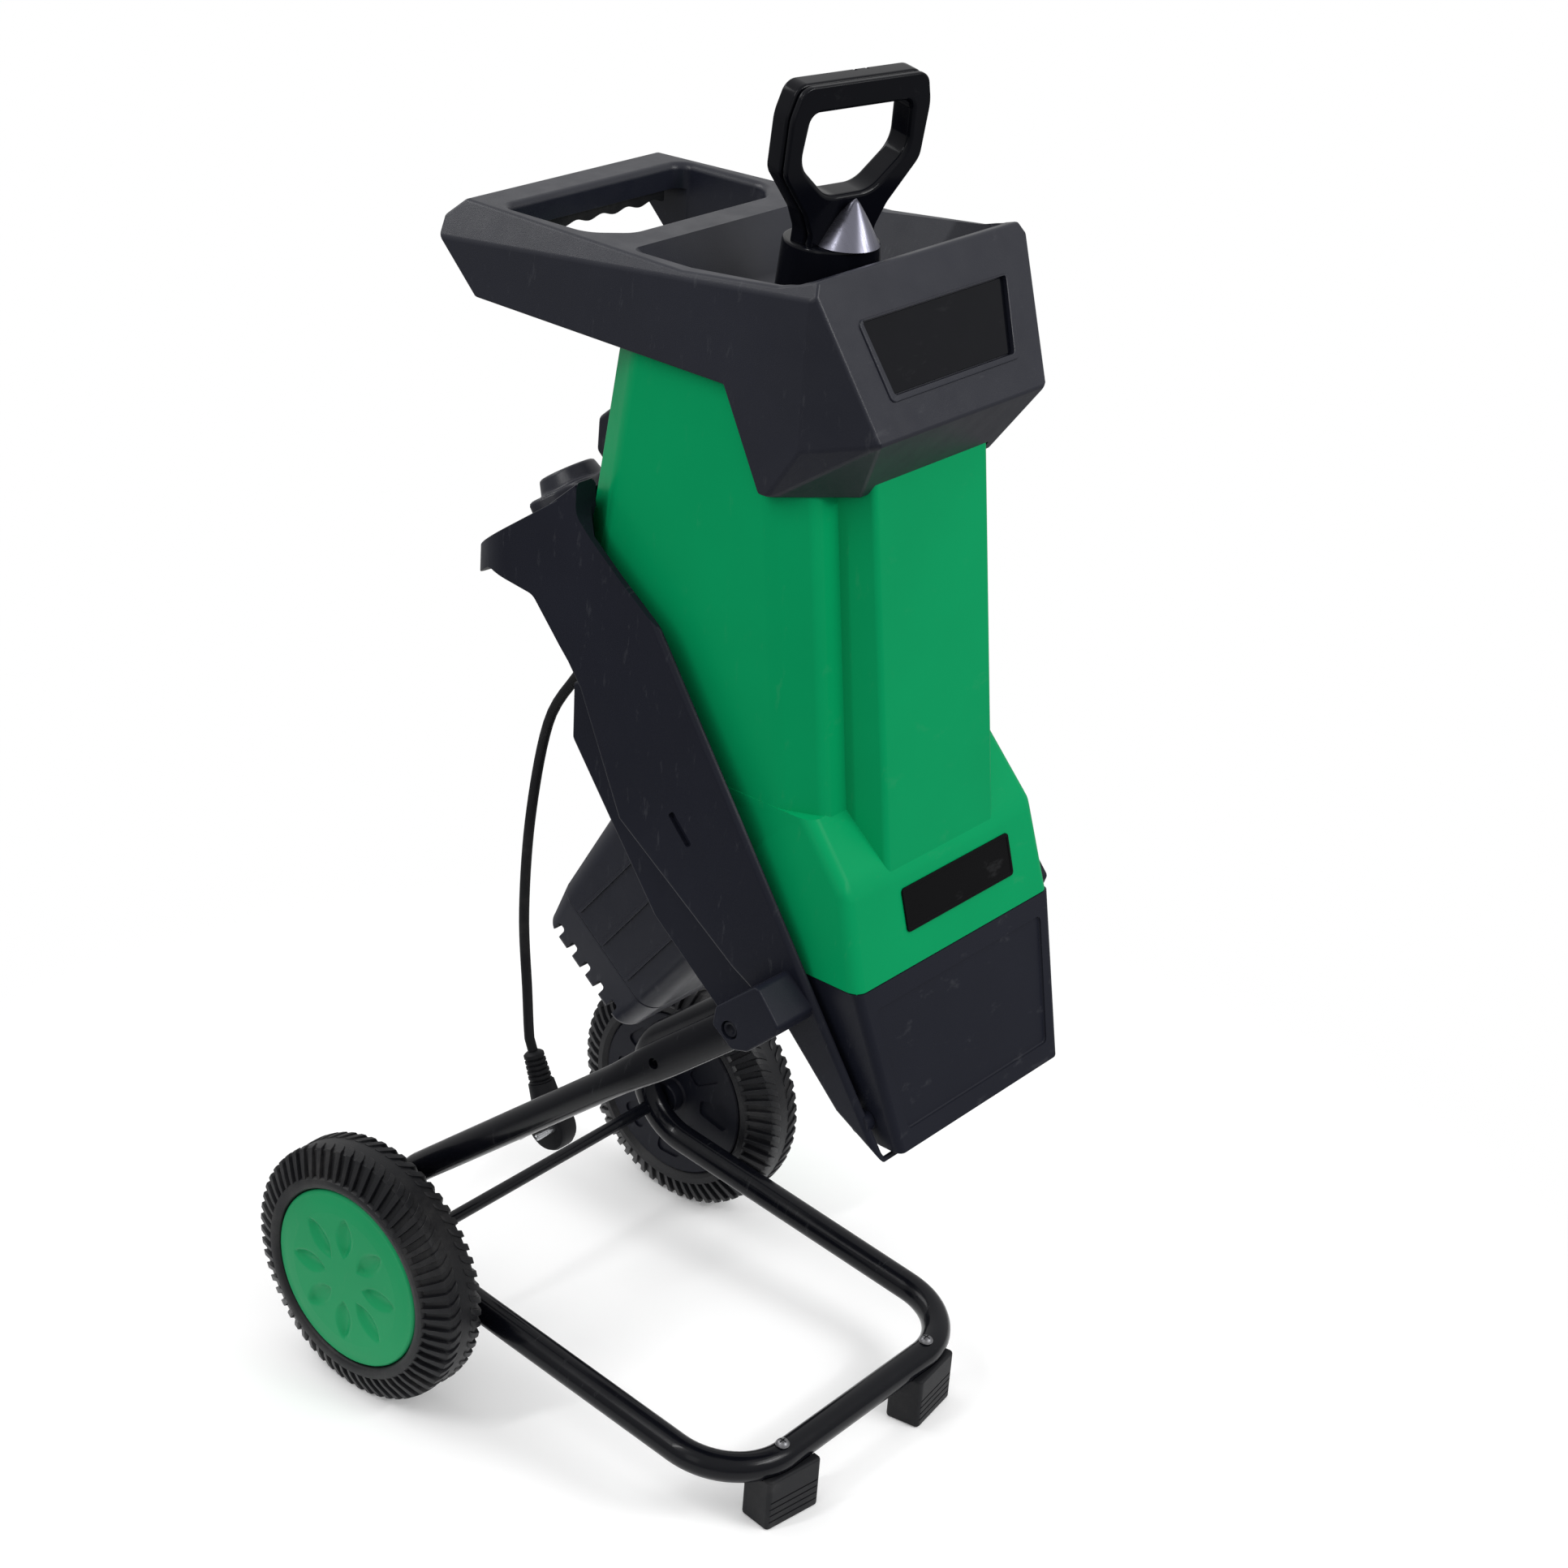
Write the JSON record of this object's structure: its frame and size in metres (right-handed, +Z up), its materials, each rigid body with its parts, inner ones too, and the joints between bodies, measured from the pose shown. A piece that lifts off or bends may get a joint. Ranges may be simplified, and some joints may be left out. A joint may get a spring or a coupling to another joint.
{
  "type": "electric wood chipper",
  "caption": "Electric garden chipper: green hopper with a black collar and plunger, slanted black motor base, and a bent tube stand with wheels and rubber feet.",
  "frame": {"origin": "on the floor under the middle of the machine's bounding box", "axes": "+Z up, -Y the front where the chips come out, wheels at +Y, +X the user's right when facing the front from behind"},
  "size_m": [0.4108, 0.4965, 0.9984],
  "materials": {
    "green_plastic": "satin",
    "black_plastic": "satin",
    "gloss_black": "gloss",
    "gloss_black_plastic": "gloss",
    "tyre_rubber": "matte",
    "rubber": "matte",
    "steel": "satin",
    "dark_steel": "satin",
    "satin_grey": "satin",
    "copper": "satin",
    "carbon": "matte",
    "red_plastic": "gloss",
    "fan_plastic": "matte"
  },
  "bodies": {
    "base": {"base_housing": "black_plastic", "motor_shell": "black_plastic", "motor_end_cap": "black_plastic", "stator": "dark_steel", "bearing_upper": "steel", "bearing_lower": "steel", "brush_left": "carbon", "brush_right": "carbon", "switch_box": "black_plastic", "cord_gland": "rubber", "cord": "rubber", "plug_strain_relief": "rubber", "plug": "rubber", "stand_tube": "gloss_black", "axle": "dark_steel", "foot_left": "rubber", "foot_right": "rubber", "foot_screw_left": "dark_steel", "foot_screw_right": "dark_steel", "leg_bolt_left": "gloss_black", "leg_bolt_right": "gloss_black", "hinge_pin_left": "steel", "hinge_pin_right": "steel"},
    "hopper": {"hopper_housing": "green_plastic", "hopper_collar": "black_plastic", "collar_panel": "gloss_black_plastic", "handle_grip": "rubber", "feed_chute": "black_plastic", "label_plate": "black_plastic", "discharge_box": "black_plastic", "hopper_latch": "black_plastic", "latch_lug": "steel"},
    "plunger": {"plunger_body": "black_plastic", "plunger_handle": "gloss_black_plastic", "plunger_cone": "satin_grey"},
    "lock": {"lock_knob": "black_plastic", "lock_stud": "steel"},
    "rotor": {"rotor_shaft": "steel", "armature_core": "dark_steel", "commutator": "copper", "cooling_fan": "fan_plastic", "blade_disc": "steel", "blade_a": "steel", "blade_b": "steel", "blade_screw_a1": "dark_steel", "blade_screw_a2": "dark_steel", "blade_screw_b1": "dark_steel", "blade_screw_b2": "dark_steel", "disc_nut": "steel"},
    "wheel_l": {"tyre_left": "tyre_rubber", "rim_left": "black_plastic", "hubcap_left": "green_plastic"},
    "wheel_r": {"tyre_right": "tyre_rubber", "rim_right": "black_plastic", "hubcap_right": "green_plastic"},
    "start_key": {"start_button": "green_plastic"},
    "stop_key": {"stop_button": "red_plastic"},
    "reset_key": {"reset_button": "black_plastic"}
  },
  "joints": [
    {"name": "wheel_left_spin", "type": "hinge", "parent": "base", "child": "wheel_l", "pos_m": [-0.18, 0.152, 0.1], "axis": [1, 0, 0], "continuous": true},
    {"name": "wheel_right_spin", "type": "hinge", "parent": "base", "child": "wheel_r", "pos_m": [0.18, 0.152, 0.1], "axis": [1, 0, 0], "continuous": true},
    {"name": "hopper_tip", "type": "hinge", "parent": "base", "child": "hopper", "pos_m": [0, -0.217, 0.356], "axis": [1, 0, 0], "range_deg": [0, 55]},
    {"name": "plunger_slide", "type": "slide", "parent": "hopper", "child": "plunger", "axis": [0, 0, 1], "range_m": [0, 0.36]},
    {"name": "lock_turn", "type": "hinge", "parent": "base", "child": "lock", "pos_m": [0, 0.1355, 0.6526], "axis": [0, 0.5858, 0.8105], "continuous": true},
    {"name": "rotor_spin", "type": "hinge", "parent": "base", "child": "rotor", "pos_m": [0, -0.016, 0.44], "axis": [0, -0.6157, 0.788], "continuous": true},
    {"name": "start_press", "type": "slide", "parent": "base", "child": "start_key", "axis": [0, -1, 0], "range_m": [0, 0.004], "stiffness_N_per_m": 400},
    {"name": "stop_press", "type": "slide", "parent": "base", "child": "stop_key", "axis": [0, -1, 0], "range_m": [0, 0.004], "stiffness_N_per_m": 400},
    {"name": "reset_press", "type": "slide", "parent": "base", "child": "reset_key", "axis": [0, -1, 0], "range_m": [0, 0.004], "stiffness_N_per_m": 400}
  ]
}
